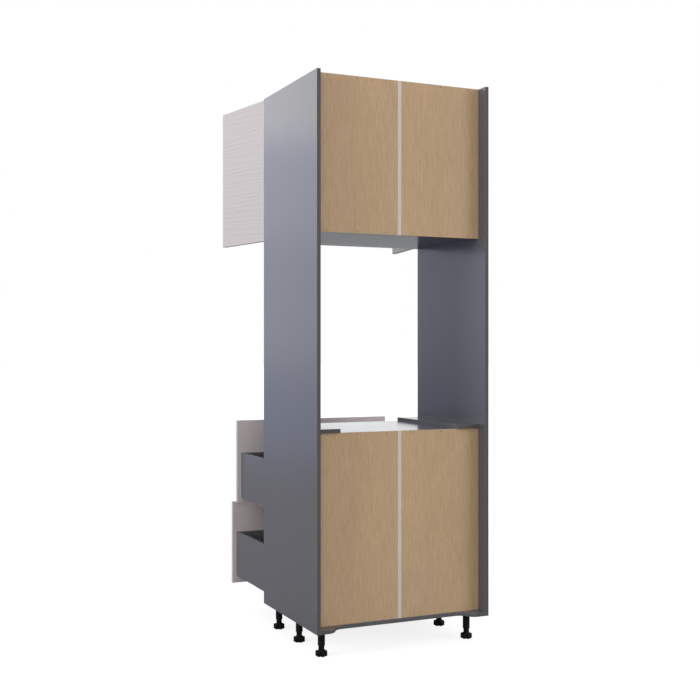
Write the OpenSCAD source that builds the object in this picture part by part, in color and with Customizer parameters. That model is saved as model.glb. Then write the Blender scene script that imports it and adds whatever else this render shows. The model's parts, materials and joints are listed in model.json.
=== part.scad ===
// Tall oven housing: two full-height sides, a door cupboard on top, an open oven
// aperture in the middle and two drawers below, on six levelling legs.
// X runs across the width, the fronts face -Y, Z = 0 is the floor.
// The origin is on the floor at the middle of the carcass.

/* [Carcass] */
// Width over both side panels
cab_w = 762; // [700:1:900]
// Depth of the side panels
cab_d = 592; // [580:1:660]
// Height of the side panels
side_h = 2166; // [2100:1:2300]
// Thickness of the carcass boards
board_t = 16; // [15:0.5:18]
// Height of the carcass above the floor
leg_h = 105; // [102:1:140]
// Clear height of the drawer space
lower_h = 734; // [720:1:760]
// Height of the oven aperture
oven_h = 782; // [700:1:800]

/* [Backs] */
// Depth of the open space behind the backs
void_d = 55.5; // [40:0.5:60]
// Thickness of the back sheets
back_t = 3; // [2.5:0.5:5]
// Depth of the grooves that hold the back sheets
groove_d = 6; // [4:0.5:8]
// Width of the joint strip's flanges
strip_w = 16; // [12:1:24]
// Thickness of the joint strip's flanges
strip_t = 1; // [0.8:0.1:1.5]
// Thickness of the joint strip's web
strip_web = 2; // [1:0.5:3]

/* [Bottom cut-out] */
// Depth of the cut-out in the bottom panel's rear edge
cut_d = 50; // [30:1:52]
// Straight width of each corner ear beside the cut-out
ear_w = 32; // [25:1:60]
// Angle that each arc of the S-shaped corners turns through
ear_turn = 65; // [50:1:70]

/* [Oven rails] */
// Width of the rails that carry the oven
rail_w = 103; // [60:1:130]
// Thickness of the oven rails
rail_t = 16; // [12:1:20]
// Distance from the rails' ends to the rear plane
rail_rear = 45; // [20:1:54]

/* [Doors and drawer fronts] */
// Thickness of the doors and drawer fronts
front_t = 19; // [18:0.5:20]
// Gap between neighbouring fronts
front_gap = 3; // [2:0.5:5]
// Distance from the fronts' side edges to the carcass sides
side_reveal = 2.5; // [2:0.5:4]
// Distance from the fronts' outer ends to the carcass edges
end_reveal = 3.5; // [2:0.5:6]
// How far the doors reach down over the cupboard floor's edge
door_lap = 7.5; // [5:0.5:12]
// Gap between the carcass and a closed front
seat_gap = 3; // [3:0.5:5]
// Angle that the doors stand open
open_angle = 100; // [0:1:100]

/* [Hinges] */
// Diameter of the hinge cups
cup_d = 35; // [35:0.5:36]
// Depth of the hinge cups
cup_depth = 13; // [13:0.1:14]
// Board left between the cup's bore and the door's edge
cup_edge = 3; // [2.5:0.1:3.5]
// Distance from the hinge pin to the door's side edge
pin_in = 7.5; // [7:0.1:7.6]
// Depth of the hinge pin below the door's inner face
pin_deep = 10; // [9.7:0.1:10.1]
// Diameter of the hinge pin
pin_d = 2; // [1.6:0.1:2.2]
// Thickness of the hinge arms
arm_t = 1.6; // [1.4:0.1:1.8]
// Width of the hinge arms
arm_w = 11; // [9:0.5:11.5]
// Distance from each hinge to the door's end
hinge_end = 90; // [70:1:120]

/* [Cupboard shelf] */
// Spacing of the rows of pin holes
pin_pitch = 32; // [25:1:40]
// Diameter of the shelf pins
shelf_pin_d = 5; // [4:0.5:6]
// Distance from the shelf's front edge to the carcass front
shelf_set = 35; // [20:1:80]

/* [Drawers] */
// Length of the drawer boxes
drawer_l = 500; // [450:1:510]
// Height of the drawer boxes
box_h = 204; // [150:1:240]
// Thickness of the drawer box boards
box_t = 16; // [12:0.5:16]
// Gap between a drawer box and the carcass side
box_clear = 4.5; // [4:0.5:6]
// Thickness of the drawer bases
base_t = 10; // [8:0.5:14]
// Height of the drawer base above the box sides' lower edge
base_recess = 13; // [12:0.5:14]
// Height of the upper drawer box above its front's lower edge
upper_lift = 25.5; // [22:0.5:40]
// Height of the lower drawer box above its front's lower edge
lower_lift = 33.5; // [30:0.5:45]
// Distance that the upper drawer stands open
upper_open = 362; // [3:1:485]
// Distance that the lower drawer stands open
lower_open = 428; // [3:1:485]

/* [Drawer runners] */
// How much shorter the runners are than the drawer boxes
runner_short = 10; // [6:1:40]
// Height of a runner from its web to the drawer base
runner_h = 28; // [27:0.5:30]
// Width of a runner's channels
channel_w = 29; // [28:0.5:32]
// Thickness of the runner steel
steel_t = 1.5; // [1:0.1:1.8]
// Height of the runner flange on the carcass side
flange_h = 38; // [30:1:45]

/* [Legs] */
// Distance from a leg's centre to the carcass side
leg_side = 55; // [50:1:90]
// Distance from the front legs' centres to the carcass front
leg_front = 40; // [35:1:80]
// Distance from the rear legs' centres to the rear plane
leg_rear = 87; // [80:1:120]
// Outer diameter of the leg tubes
tube_d = 29; // [28:0.5:32]
// Diameter of the leg flanges
flange_d = 49; // [46:0.5:60]
// Thickness of the leg flanges
flange_t = 4; // [3:0.5:6]
// Diameter of the threaded stud on each foot
stud_d = 24; // [18:0.5:24]
// Diameter over the lobes of each foot
foot_d = 47; // [40:1:60]
// Height of the lobed disc of each foot
foot_h = 20.5; // [10:0.5:24]
// Height of the collar above the foot's disc
collar_h = 3.5; // [2:0.5:10]
// Bare thread between the collar and the tube
thread_bare = 17; // [14:0.5:20]
// Thread held inside the tube
thread_grip = 35; // [25:1:36]

/* [Fixings] */
// Diameter of the dowels between the boards
dowel_d = 8; // [6:0.5:9]
// Length of a dowel inside a cross panel
dowel_l = 20; // [15:1:30]
// Diameter of the screw shanks
screw_d = 3.6; // [3:0.1:4]
// Diameter of the screw heads
screw_head_d = 6; // [5.5:0.1:6.5]
// Diameter of the nail heads
nail_head_d = 4; // [3:0.5:5]
// Diameter of the nail shanks
nail_d = 1.6; // [1.2:0.1:2]
// Distance from the first nail to the middle of the back
nail_first = 60; // [30:1:80]
// Spacing of the nails
nail_pitch = 127.5; // [60:0.5:130]

/* [Hidden] */
$fn = 64;
eps = 0.01;

// Clearances
bore_play = 0.05;
slot_play = 0.2;
slide_play = 0.3;

// Carcass planes
half_w = cab_w / 2;
inner_x = half_w - board_t;
y_front = -cab_d / 2;
y_rear = cab_d / 2;
y_back_out = y_rear - void_d;
y_back_in = y_back_out - back_t;
z_bottom = leg_h;
z_bottom_top = z_bottom + board_t;
z_shelf = z_bottom_top + lower_h;
z_shelf_top = z_shelf + board_t;
z_floor = z_shelf_top + oven_h;
z_floor_top = z_floor + board_t;
z_top = leg_h + side_h;
z_top_under = z_top - board_t;

// Dowels at the ends of the four cross panels
dowel_edge = 60;
dowel_side_l = board_t - 4;
panel_zs = [z_bottom, z_shelf, z_floor, z_top_under];
dowel_ys = [y_front + dowel_edge, (y_front + y_back_in) / 2, y_back_in - dowel_edge];

// Nails and screws
nail_l = 24;
nail_head_t = 0.6;
nails_per_half = 3;
screw_head_h = 2.2;
rail_screw_l = rail_t + board_t - 5;
rail_screw_edge = 50;
rail_screws_n = 4;
sink_d = 8;
sink_h = 3;

// Adjustable shelf
pin_hole_l = 9;
pin_out = 8;
pin_edge = 70;
shelf_play = 1;
shelf_rear = 8;
pin_z = (z_floor_top + z_top_under) / 2;
pin_ys = [y_front + pin_edge, y_back_in - pin_edge];

// Doors and drawer fronts, closed
front_x = half_w - side_reveal;
y_seat = y_front - seat_gap;
door_z0 = z_floor_top - door_lap;
door_z1 = z_top - end_reveal;
drawers_z0 = z_bottom + end_reveal;
drawer_front_h = (z_shelf_top - end_reveal - drawers_z0 - front_gap) / 2;
lower_z0 = drawers_z0;
upper_z0 = drawers_z0 + drawer_front_h + front_gap;

// Hinges
pivot_x = front_x - pin_in;
pivot_y = y_seat - pin_deep;
cup_x = front_x - cup_edge - cup_d / 2;
cup_wall = 0.8;
cup_rim_t = 1;
cup_rim_l = 56;
cup_rim_w = 14;
knuckle_d = 3.8;
arm_in = 15;
arm_drop = 0.6;
arm_rear = 64;
lug_t = 2.3;
lug_w = 6;
lug_h = 3;
pin_half = arm_w / 2 + 0.4 + lug_t;
plate_front = 20;
plate_t = 2;
plate_l = 50;
plate_screw_y = 37;
plate_screw_z = 17;
plate_screw_l = 12;
wing_w = 16;
hinge_zs = [door_z0 + hinge_end, door_z1 - hinge_end];

// Drawer boxes and runners
box_x = inner_x - box_clear;
box_in_x = box_x - box_t;
base_let = 6;
front_screw_x = 250;
front_screw_edge = 40;
front_screw_l = box_t + 13;
runner_set = 2;
runner_l = drawer_l - runner_short;
channel_s = box_clear + box_t + 2;
lip_w = 3.5;
lip_drop = 0.3;
rail_h = 3.7;
web_w = 7;

// Legs and feet
leg_x = half_w - leg_side;
leg_y0 = y_front + leg_front;
leg_y2 = y_rear - leg_rear;
leg_y1 = (leg_y0 + leg_y2) / 2;
tube_z = foot_h + collar_h + thread_bare;
foot_up = 12;
leg_screws_r = 19;
leg_screw_l = flange_t + board_t - 4;
foot_lobes = 6;
lobe_r = 7.5;

CARCASS = [0.42, 0.42, 0.46];
FRONT = [0.60, 0.55, 0.53];
BACK = [0.67, 0.57, 0.46];
STRIP = [0.78, 0.75, 0.74];
BLACK = [0.04, 0.04, 0.04];
STEEL = [0.72, 0.73, 0.75];
TIMBER = [0.80, 0.68, 0.50];

// A rectangular board between two corners
module board(low, high) {
    translate(low) cube(high - low);
}

// The children, and their mirror image across the middle plane
module both_sides() {
    children();
    mirror([1, 0, 0]) children();
}

// Cylinder along +X from the origin
module rod_x(d, h) {
    rotate([0, 90, 0]) cylinder(d = d, h = h);
}

// Cylinder along -Y from the origin
module rod_back(d, h) {
    rotate([90, 0, 0]) cylinder(d = d, h = h);
}

// Pan-head screw along +Z, with its head below z = 0
module pan_screw(shank_l) {
    cylinder(d = screw_d, h = shank_l);
    translate([0, 0, -screw_head_h]) cylinder(d = screw_head_d, h = screw_head_h + eps);
}

// ---- fixing patterns, shared by the pieces that they join ----

module at_dowels() {
    for (z = panel_zs, y = dowel_ys) {
        translate([inner_x, y, z + board_t / 2]) children();
    }
}

module dowel_bores() {
    both_sides() at_dowels() translate([-dowel_l - 1, 0, 0]) {
        rod_x(dowel_d, dowel_l + dowel_side_l + 1.5);
    }
}

module at_nails() {
    for (z = [z_shelf, z_floor, z_top_under], i = [0 : nails_per_half - 1]) {
        translate([nail_first + i * nail_pitch, y_back_out, z + board_t / 2]) children();
    }
}

module nail_bores() {
    both_sides() at_nails() translate([0, eps, 0]) rod_back(nail_d + 2 * bore_play, nail_l + 1);
}

module at_rail_screws() {
    first_y = y_front + rail_screw_edge;
    last_y = y_rear - rail_rear - rail_screw_edge;
    for (i = [0 : rail_screws_n - 1]) {
        y = first_y + i * (last_y - first_y) / (rail_screws_n - 1);
        translate([inner_x - rail_w / 2, y, z_shelf_top + rail_t]) children();
    }
}

// Countersunk screw along -Z, with the top of its head at z = 0
module sunk_screw(shank_l, play) {
    translate([0, 0, -shank_l]) cylinder(d = screw_d + play, h = shank_l);
    translate([0, 0, -sink_h]) cylinder(d1 = screw_d + play, d2 = sink_d + play, h = sink_h);
}

module rail_screw_bores() {
    both_sides() at_rail_screws() sunk_screw(rail_screw_l + 1, 2 * bore_play);
}

module at_leg(y) {
    translate([leg_x, y, 0]) children();
}

module at_leg_screws() {
    for (y = [leg_y0, leg_y1, leg_y2], a = [45 : 90 : 315]) {
        at_leg(y) rotate([0, 0, a]) translate([leg_screws_r, 0, z_bottom - flange_t]) children();
    }
}

module leg_screw_bores() {
    both_sides() at_leg_screws() cylinder(d = screw_d + 2 * bore_play, h = leg_screw_l + 1);
}

module at_shelf_pins(rows) {
    for (y = pin_ys, i = rows) {
        translate([inner_x, y, pin_z + i * pin_pitch]) children();
    }
}

module at_plate_screws() {
    for (z = hinge_zs, s = [-1, 1]) {
        translate([inner_x, y_front + plate_screw_y, z + s * plate_screw_z]) children();
    }
}

// ---- carcass ----

module back_groove(z0, z1) {
    board(
        [inner_x - 1, y_back_in - slot_play / 2, z0],
        [inner_x + groove_d, y_back_out + slot_play / 2, z1]
    );
}

module side_panel() {
    color(CARCASS) difference() {
        board([inner_x, y_front, z_bottom], [half_w, y_rear, z_top]);
        back_groove(z_bottom_top, z_shelf_top);
        back_groove(z_floor, z_top + 1);
        dowel_bores();
        at_shelf_pins([-2 : 2]) translate([-1, 0, 0]) rod_x(shelf_pin_d, pin_hole_l + 1);
        at_plate_screws() translate([-1, 0, 0]) rod_x(screw_d + 2 * bore_play, plate_screw_l);
    }
}

// Panel between the sides, with the nailed edge and the slot for the joint strip
module nailed_panel(z0) {
    slot_x = strip_w / 2 + slot_play;
    color(CARCASS) difference() {
        board([-inner_x, y_front, z0], [inner_x, y_back_in, z0 + board_t]);
        dowel_bores();
        nail_bores();
        rail_screw_bores();
        board(
            [-slot_x, y_back_in - strip_t - slot_play, z0 - 1],
            [slot_x, y_back_in + 1, z0 + board_t + 1]
        );
    }
}

// S-shaped corner of the cut-out: two equal arcs beside a straight ear
module ear_outline() {
    r = cut_d / 2 / (1 - cos(ear_turn));
    reach = r * sin(ear_turn);
    ear_x = inner_x - ear_w;
    y_mid = y_rear - cut_d;
    translate([ear_x, y_mid]) square([ear_w, cut_d]);
    intersection() {
        translate([ear_x, y_rear - r]) circle(r);
        translate([ear_x - reach, y_mid]) square([reach + eps, cut_d]);
    }
    difference() {
        translate([ear_x - 2 * reach, y_mid]) square([reach + eps, cut_d / 2]);
        translate([ear_x - 2 * reach, y_mid + r]) circle(r);
    }
}

module bottom_panel() {
    color(CARCASS) difference() {
        translate([0, 0, z_bottom]) linear_extrude(board_t) {
            translate([-inner_x, y_front]) square([2 * inner_x, cab_d - cut_d]);
            ear_outline();
            mirror([1, 0]) ear_outline();
        }
        dowel_bores();
        leg_screw_bores();
    }
}

module back_half(z0, z1) {
    color(BACK) difference() {
        board(
            [strip_web / 2 + slot_play, y_back_in, z0],
            [inner_x + groove_d - slot_play, y_back_out, z1]
        );
        nail_bores();
    }
}

module joint_strip(z0, z1) {
    color(STRIP) translate([0, 0, z0]) linear_extrude(z1 - z0) {
        translate([-strip_w / 2, y_back_out]) square([strip_w, strip_t]);
        translate([-strip_web / 2, y_back_in - eps]) square([strip_web, back_t + 2 * eps]);
        translate([-strip_w / 2, y_back_in - strip_t]) square([strip_w, strip_t]);
    }
}

module back_nails() {
    color(STEEL) both_sides() at_nails() {
        translate([0, eps, 0]) rod_back(nail_d, nail_l);
        translate([0, nail_head_t, 0]) rod_back(nail_head_d, nail_head_t);
    }
}

module oven_rail() {
    color(CARCASS) difference() {
        board(
            [inner_x - rail_w, y_front, z_shelf_top],
            [inner_x, y_rear - rail_rear, z_shelf_top + rail_t]
        );
        rail_screw_bores();
    }
}

module rail_screws() {
    color(STEEL) both_sides() at_rail_screws() sunk_screw(rail_screw_l, 0);
}

module adjustable_shelf() {
    z0 = pin_z + shelf_pin_d / 2 - bore_play;
    shelf_x = inner_x - shelf_play;
    color(CARCASS) board(
        [-shelf_x, y_front + shelf_set, z0],
        [shelf_x, y_back_in - shelf_rear, z0 + board_t]
    );
}

module shelf_pins() {
    color(STEEL) both_sides() at_shelf_pins([0]) translate([-pin_out, 0, 0]) {
        rod_x(shelf_pin_d - 2 * bore_play, pin_out + pin_hole_l - 1);
    }
}

module carcass_dowels() {
    color(TIMBER) both_sides() at_dowels() translate([-dowel_l, 0, 0]) {
        rod_x(dowel_d - 2 * bore_play, dowel_l + dowel_side_l);
    }
}

// ---- legs ----

module leg(y) {
    bore_l = thread_grip + foot_up + 2;
    color(BLACK) at_leg(y) difference() {
        union() {
            translate([0, 0, tube_z]) cylinder(d = tube_d, h = z_bottom - tube_z);
            translate([0, 0, z_bottom - flange_t]) cylinder(d = flange_d, h = flange_t);
        }
        translate([0, 0, tube_z - 1]) cylinder(d = stud_d + 2 * bore_play, h = bore_l + 1);
        for (a = [45 : 90 : 315]) {
            rotate([0, 0, a]) translate([leg_screws_r, 0, z_bottom - flange_t - 1]) {
                cylinder(d = screw_d + 2 * bore_play, h = flange_t + 2);
            }
        }
    }
}

module foot(y) {
    lobe_at = foot_d / 2 - lobe_r;
    collar_d = stud_d + 8;
    color(BLACK) at_leg(y) {
        linear_extrude(foot_h) {
            circle(lobe_at);
            for (i = [0 : foot_lobes - 1]) {
                rotate((i + 0.5) * 360 / foot_lobes) translate([lobe_at, 0]) circle(lobe_r);
            }
        }
        translate([0, 0, foot_h - eps]) cylinder(d1 = collar_d, d2 = stud_d + 2, h = collar_h + eps);
        translate([0, 0, foot_h]) cylinder(d = stud_d, h = tube_z + thread_grip - foot_h);
    }
}

module leg_screws() {
    color(STEEL) both_sides() at_leg_screws() pan_screw(leg_screw_l);
}

// ---- drawers: z0 is the front's lower edge, y0 the plane of the front's inner face ----

module at_front_screws(z0, y0, lift) {
    low_z = z0 + lift + base_recess + base_t + front_screw_edge;
    high_z = z0 + lift + box_h - front_screw_edge;
    for (z = [low_z, high_z]) {
        translate([front_screw_x, y0 + box_t, z]) rotate([90, 0, 0]) children();
    }
}

module front_screw_bores(z0, y0, lift) {
    both_sides() at_front_screws(z0, y0, lift) {
        translate([0, 0, -1]) cylinder(d = screw_d + 2 * bore_play, h = front_screw_l + 2);
    }
}

module drawer_front(z0, y0, lift) {
    color(FRONT) difference() {
        board([-front_x, y0 - front_t, z0], [front_x, y0, z0 + drawer_front_h]);
        front_screw_bores(z0, y0, lift);
    }
}

module box_side(z0, y0, lift) {
    groove_z = z0 + lift + base_recess - slot_play / 2;
    color(CARCASS) difference() {
        board([box_in_x, y0, z0 + lift], [box_x, y0 + drawer_l, z0 + lift + box_h]);
        board(
            [box_in_x - 1, y0 - 1, groove_z],
            [box_in_x + base_let + slot_play, y0 + drawer_l + 1, groove_z + base_t + slot_play]
        );
    }
}

// Front or back board of a box, whose front face is at y
module box_end(z0, y, lift) {
    base_top = z0 + lift + base_recess + base_t;
    board([-box_in_x, y, base_top], [box_in_x, y + box_t, z0 + lift + box_h]);
}

module box_front(z0, y0, lift) {
    color(CARCASS) difference() {
        box_end(z0, y0, lift);
        front_screw_bores(z0, y0, lift);
    }
}

module box_back(z0, y0, lift) {
    color(CARCASS) box_end(z0, y0 + drawer_l - box_t, lift);
}

module box_base(z0, y0, lift) {
    base_z = z0 + lift + base_recess;
    base_x = box_in_x + base_let;
    color(CARCASS) board([-base_x, y0, base_z], [base_x, y0 + drawer_l, base_z + base_t]);
}

module front_screws(z0, y0, lift) {
    color(STEEL) both_sides() at_front_screws(z0, y0, lift) pan_screw(front_screw_l);
}

// ---- runners: drawn as sections from the carcass side inwards, then run along Y ----

module runner(z0, lift, y) {
    web_z = z0 + lift + base_recess - runner_h;
    color(STEEL) both_sides() translate([inner_x, y + runner_l, web_z]) rotate([90, 0, 0]) {
        linear_extrude(runner_l) mirror([1, 0]) children();
    }
}

// One channel wall with the lip that holds the middle member
module channel_wall(wall_h) {
    square([steel_t, wall_h]);
    translate([0, wall_h - steel_t]) square([steel_t + lip_w, steel_t]);
}

module channel(wall_h) {
    square([channel_w, steel_t]);
    channel_wall(wall_h);
    translate([channel_w, 0]) mirror([1, 0]) channel_wall(wall_h);
}

wall_h = 2 * steel_t + slide_play + rail_h + lip_drop;

module rail_section() {
    square([channel_s + channel_w, steel_t]);
    square([steel_t, flange_h]);
    translate([channel_s, 0]) channel(wall_h);
}

module middle_section() {
    rail_w2 = channel_w - 2 * steel_t - 2 * slide_play;
    rail_s = channel_s + steel_t + slide_play;
    low_h = steel_t + slide_play;
    high_h = runner_h - low_h - rail_h;
    translate([rail_s, low_h]) square([rail_w2, rail_h]);
    translate([rail_s, high_h]) square([rail_w2, rail_h]);
    translate([channel_s + (channel_w - web_w) / 2, low_h]) square([web_w, high_h - low_h + 1]);
}

module slide_section() {
    translate([channel_s, runner_h]) mirror([0, 1]) channel(wall_h);
}

module runner_rails(z0, lift) {
    runner(z0, lift, y_front + runner_set) rail_section();
}

module runner_middles(z0, lift, open) {
    runner(z0, lift, y_front + runner_set - (open - seat_gap) / 2) middle_section();
}

module runner_slides(z0, lift, open) {
    runner(z0, lift, y_front + runner_set - (open - seat_gap)) slide_section();
}

// ---- doors, drawn closed and swung open about the hinge pin ----

module swung() {
    translate([pivot_x, pivot_y, 0]) rotate([0, 0, open_angle]) {
        translate([-pivot_x, -pivot_y, 0]) children();
    }
}

module door() {
    color(FRONT) swung() difference() {
        board([front_gap / 2, y_seat - front_t, door_z0], [front_x, y_seat, door_z1]);
        for (z = hinge_zs) {
            translate([cup_x, y_seat + 1, z]) rod_back(cup_d, cup_depth + 1);
        }
    }
}

// Cup with its rim bar and the two lugs that turn on the pin
module hinge_cup(z) {
    cup_out = cup_d - 2 * bore_play;
    lug_y = y_seat - cup_depth + cup_wall;
    color(STEEL) translate([0, 0, z]) difference() {
        union() {
            difference() {
                translate([cup_x, y_seat + cup_rim_t, 0]) rod_back(cup_out, cup_depth + cup_rim_t);
                translate([cup_x, y_seat + cup_rim_t + 1, 0]) {
                    rod_back(cup_out - 2 * cup_wall, cup_depth + cup_rim_t + 1 - cup_wall);
                }
            }
            intersection() {
                translate([cup_x, y_seat, 0]) rod_back(cup_out - eps, cup_depth);
                for (s = [0, 1]) {
                    mirror([0, 0, s]) board(
                        [pivot_x - lug_w / 2, lug_y - eps, arm_w / 2 + 0.4],
                        [pivot_x + lug_w / 2 + cup_edge, pivot_y + lug_h, pin_half]
                    );
                }
            }
            rim_bars();
        }
        translate([pivot_x, pivot_y, -cup_d / 2]) cylinder(d = pin_d + 2 * bore_play, h = cup_d);
    }
}

// Bars of the rim above and below the cup, on the door's inner face
module rim_bars() {
    bar_z = cup_d / 2 - 3;
    for (s = [0, 1]) {
        mirror([0, 0, s]) board(
            [cup_x - cup_rim_w / 2, y_seat, bar_z],
            [cup_x + cup_rim_w / 2, y_seat + cup_rim_t, cup_rim_l / 2]
        );
    }
}

module hinge_cups() {
    swung() for (z = hinge_zs) hinge_cup(z);
}

// Strip from the plate forward past the door's edge, then across to the pin
module hinge_arm() {
    strip_x = pivot_x - arm_in - arm_t;
    cross_y = pivot_y - arm_drop - arm_t / 2;
    color(STEEL) translate([0, 0, -arm_w / 2]) difference() {
        union() {
            board([strip_x, cross_y, 0], [strip_x + arm_t, y_front + arm_rear, arm_w]);
            board([strip_x, cross_y, 0], [pivot_x, cross_y + arm_t, arm_w]);
            translate([pivot_x, pivot_y, 0]) cylinder(d = knuckle_d, h = arm_w);
        }
        translate([pivot_x, pivot_y, -1]) cylinder(d = pin_d + 2 * bore_play, h = arm_w + 2);
    }
}

module hinge_plate() {
    color(STEEL) difference() {
        union() {
            board(
                [pivot_x - arm_in, y_front + plate_front, -arm_w / 2],
                [inner_x, y_front + arm_rear, arm_w / 2]
            );
            board(
                [inner_x - plate_t, y_front + plate_screw_y - wing_w / 2, -plate_l / 2],
                [inner_x, y_front + plate_screw_y + wing_w / 2, plate_l / 2]
            );
        }
        for (s = [-1, 1]) {
            translate([inner_x - plate_t - 1, y_front + plate_screw_y, s * plate_screw_z]) {
                rod_x(screw_d + 2 * bore_play, plate_t + 2);
            }
        }
    }
}

module hinge_arms() {
    both_sides() for (z = hinge_zs) translate([0, 0, z]) hinge_arm();
}

module hinge_pins() {
    color(STEEL) both_sides() for (z = hinge_zs) {
        translate([pivot_x, pivot_y, z - pin_half]) cylinder(d = pin_d, h = 2 * pin_half);
    }
}

module hinge_plates() {
    both_sides() for (z = hinge_zs) translate([0, 0, z]) hinge_plate();
}

module hinge_screws() {
    color(STEEL) both_sides() at_plate_screws() translate([-plate_t, 0, 0]) {
        rotate([0, 90, 0]) pan_screw(plate_screw_l);
    }
}

// ---- the two drawers and their places ----

upper_y = y_front - upper_open;
lower_y = y_front - lower_open;

mirror([1, 0, 0]) side_panel();  // side_panel_left
side_panel();  // side_panel_right
nailed_panel(z_top_under);  // top_panel
bottom_panel();
nailed_panel(z_shelf);  // oven_shelf
nailed_panel(z_floor);  // cupboard_floor
mirror([1, 0, 0]) back_half(z_floor, z_top);  // back_upper_left
back_half(z_floor, z_top);  // back_upper_right
union() {  // back_lower_left
    mirror([1, 0, 0]) back_half(z_bottom_top, z_shelf_top);
}
back_half(z_bottom_top, z_shelf_top);  // back_lower_right
joint_strip(z_floor, z_top);  // joint_strip_upper
joint_strip(z_bottom_top, z_shelf_top);  // joint_strip_lower
back_nails();
mirror([1, 0, 0]) oven_rail();  // oven_rail_left
oven_rail();  // oven_rail_right
rail_screws();
adjustable_shelf();
shelf_pins();
carcass_dowels();
mirror([1, 0, 0]) leg(leg_y0);  // leg_front_left
mirror([1, 0, 0]) leg(leg_y1);  // leg_middle_left
mirror([1, 0, 0]) leg(leg_y2);  // leg_rear_left
leg(leg_y0);  // leg_front_right
leg(leg_y1);  // leg_middle_right
leg(leg_y2);  // leg_rear_right
mirror([1, 0, 0]) foot(leg_y0);  // foot_front_left
mirror([1, 0, 0]) foot(leg_y1);  // foot_middle_left
mirror([1, 0, 0]) foot(leg_y2);  // foot_rear_left
foot(leg_y0);  // foot_front_right
foot(leg_y1);  // foot_middle_right
foot(leg_y2);  // foot_rear_right
leg_screws();
drawer_front(upper_z0, upper_y, upper_lift);  // upper_drawer_front
union() {  // upper_box_left
    mirror([1, 0, 0]) box_side(upper_z0, upper_y, upper_lift);
}
box_side(upper_z0, upper_y, upper_lift);  // upper_box_right
box_front(upper_z0, upper_y, upper_lift);  // upper_box_front
box_back(upper_z0, upper_y, upper_lift);  // upper_box_back
box_base(upper_z0, upper_y, upper_lift);  // upper_box_base
front_screws(upper_z0, upper_y, upper_lift);  // upper_front_screws
drawer_front(lower_z0, lower_y, lower_lift);  // lower_drawer_front
union() {  // lower_box_left
    mirror([1, 0, 0]) box_side(lower_z0, lower_y, lower_lift);
}
box_side(lower_z0, lower_y, lower_lift);  // lower_box_right
box_front(lower_z0, lower_y, lower_lift);  // lower_box_front
box_back(lower_z0, lower_y, lower_lift);  // lower_box_back
box_base(lower_z0, lower_y, lower_lift);  // lower_box_base
front_screws(lower_z0, lower_y, lower_lift);  // lower_front_screws
runner_rails(upper_z0, upper_lift);  // upper_runner_rails
union() {  // upper_runner_middles
    runner_middles(upper_z0, upper_lift, upper_open);
}
union() {  // upper_runner_slides
    runner_slides(upper_z0, upper_lift, upper_open);
}
runner_rails(lower_z0, lower_lift);  // lower_runner_rails
union() {  // lower_runner_middles
    runner_middles(lower_z0, lower_lift, lower_open);
}
union() {  // lower_runner_slides
    runner_slides(lower_z0, lower_lift, lower_open);
}
mirror([1, 0, 0]) door();  // door_left
door();  // door_right
mirror([1, 0, 0]) hinge_cups();  // hinge_cups_left
hinge_cups();  // hinge_cups_right
hinge_arms();
hinge_pins();
hinge_plates();
hinge_screws();
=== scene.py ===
# %% [markdown]
# # A tall oven housing, dressed in Blender
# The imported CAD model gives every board, leg, runner and hinge its size and place.
# This lesson adds what a maker would see on the real unit: eased and taped board
# edges, a pressed wood grain on the fronts, moulded legs, nails, screws, runners
# and hinges, and a procedural finish on every surface. Everything is in metres.
# +Z is up, the fronts face -Y, and Z = 0 is the floor.

# %% Load the fixed frame
import json
import math

import bmesh
import bpy
from mathutils import Matrix, Vector

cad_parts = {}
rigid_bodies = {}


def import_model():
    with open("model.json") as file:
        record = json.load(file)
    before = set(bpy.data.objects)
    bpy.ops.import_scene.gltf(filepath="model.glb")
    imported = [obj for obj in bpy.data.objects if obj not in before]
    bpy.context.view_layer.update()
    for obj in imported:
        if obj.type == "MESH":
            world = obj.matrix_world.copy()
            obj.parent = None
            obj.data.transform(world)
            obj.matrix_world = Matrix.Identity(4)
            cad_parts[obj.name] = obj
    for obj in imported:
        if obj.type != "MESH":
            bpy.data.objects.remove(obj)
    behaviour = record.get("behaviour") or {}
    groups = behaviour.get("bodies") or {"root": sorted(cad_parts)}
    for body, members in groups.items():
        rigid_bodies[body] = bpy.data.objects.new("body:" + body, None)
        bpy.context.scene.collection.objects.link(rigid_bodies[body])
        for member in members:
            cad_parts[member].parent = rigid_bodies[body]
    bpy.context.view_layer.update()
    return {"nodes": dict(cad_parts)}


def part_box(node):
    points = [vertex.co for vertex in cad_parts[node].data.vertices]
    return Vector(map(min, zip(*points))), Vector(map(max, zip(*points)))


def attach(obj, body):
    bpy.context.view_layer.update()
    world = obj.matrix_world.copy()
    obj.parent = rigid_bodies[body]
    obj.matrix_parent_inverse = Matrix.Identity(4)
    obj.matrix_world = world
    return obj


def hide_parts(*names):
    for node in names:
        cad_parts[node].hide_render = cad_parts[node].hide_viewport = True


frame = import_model()
scene = bpy.context.scene
print("CAD nodes:", len(frame["nodes"]))

# %% [markdown]
# ## Camera
# The photograph was taken from behind the unit, at eye height and level, so that
# upright edges stay upright. A level camera with a long lens gives the same view.
# The lens is shifted a little instead of tilted, as an architect's camera is.

# %% Camera
LENS_MM = 57.23
EYE = Vector((2.0196, 4.2135, 1.207))
HEADING = math.atan2(0.4131, -0.9107)

camera_data = bpy.data.cameras.new("camera")
camera_data.sensor_width = 36.0
camera_data.lens = LENS_MM
camera_data.shift_y = -0.0047
camera = bpy.data.objects.new("camera", camera_data)
scene.collection.objects.link(camera)
camera.location = EYE
camera.rotation_euler = (math.radians(90), 0, HEADING)
scene.camera = camera
print("camera at", tuple(round(v, 3) for v in EYE))

# %% [markdown]
# ## Node helpers
# Shader trees are easier to read when each node takes one line. These helpers make
# a node, set its sockets by name and join it to others.

# %% Node helpers
WHITE = (1.0, 1.0, 1.0, 1.0)


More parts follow.
